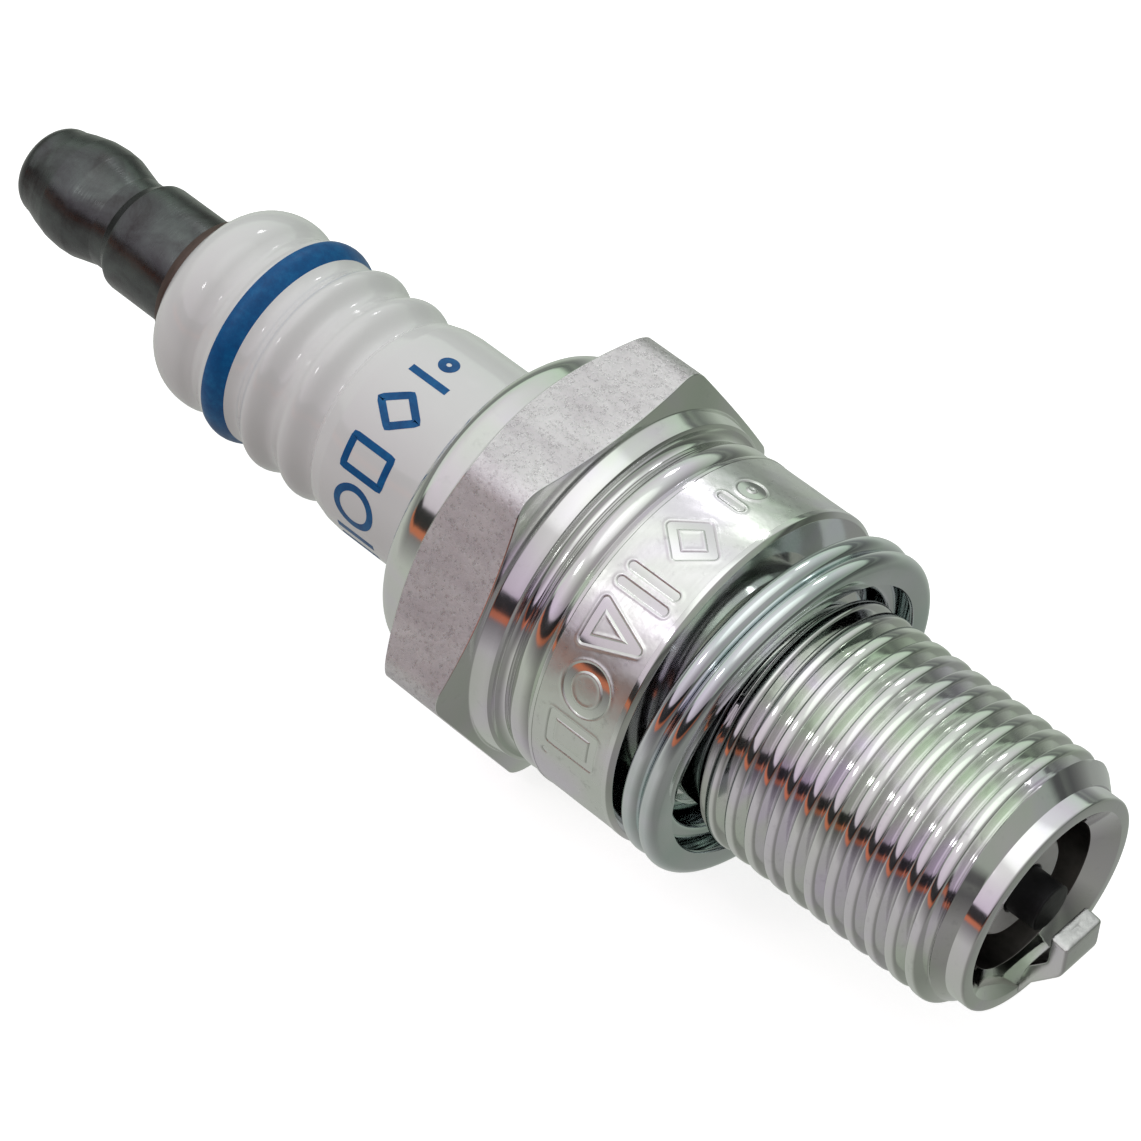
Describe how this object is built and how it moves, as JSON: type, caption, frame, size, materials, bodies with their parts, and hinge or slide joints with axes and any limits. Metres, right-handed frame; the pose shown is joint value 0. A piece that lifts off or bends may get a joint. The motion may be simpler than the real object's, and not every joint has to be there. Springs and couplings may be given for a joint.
{
  "type": "spark plug",
  "caption": "Resistor spark plug with a ribbed white insulator, a hexagon shell, a threaded firing end with a bent side electrode, and a loose folded seat gasket.",
  "frame": {"origin": "on the plug's axis, at the plane of the shell's gasket seat", "axes": "+X along the axis towards the firing end, +Z the outward direction of one hexagon flat, +Y completing the right-handed set; the plug lies on the opposite flat"},
  "size_m": [0.0717, 0.0234, 0.0208],
  "materials": {
    "terminal_steel": "dark oiled steel, satin",
    "glazed_alumina": "white gloss glaze with one blue painted band and blue bar marks",
    "seal_glass": "fused conductive seal, matt",
    "resistor_body": "fused resistor compound, matt",
    "nickel_alloy": "dark nickel alloy, turned",
    "copper_core": "bare copper",
    "zinc_plate": "bright zinc plate with a faint green and lilac passivation sheen",
    "ring_steel": "plain steel wire",
    "talc": "pressed powder, matt",
    "gasket_plate": "polished zinc-plated folded sheet",
    "ground_plate": "plated nickel alloy bar with a bright sheared end"
  },
  "bodies": {
    "plug": {"terminal_stud": "terminal_steel", "insulator": "glazed_alumina", "upper_glass_seal": "seal_glass", "resistor": "resistor_body", "lower_glass_seal": "seal_glass", "centre_electrode": "nickel_alloy", "centre_electrode_core": "copper_core", "shell": "zinc_plate", "upper_packing_ring": "ring_steel", "talc_filling": "talc", "lower_packing_ring": "ring_steel", "inner_gasket": "ring_steel", "ground_electrode": "ground_plate"},
    "gasket": {"gasket": "gasket_plate"}
  },
  "joints": [
    {"name": "gasket_slide", "type": "slide", "parent": "plug", "child": "gasket", "axis": [1, 0, 0], "range_m": [-0.00025, 0.0014]}
  ]
}
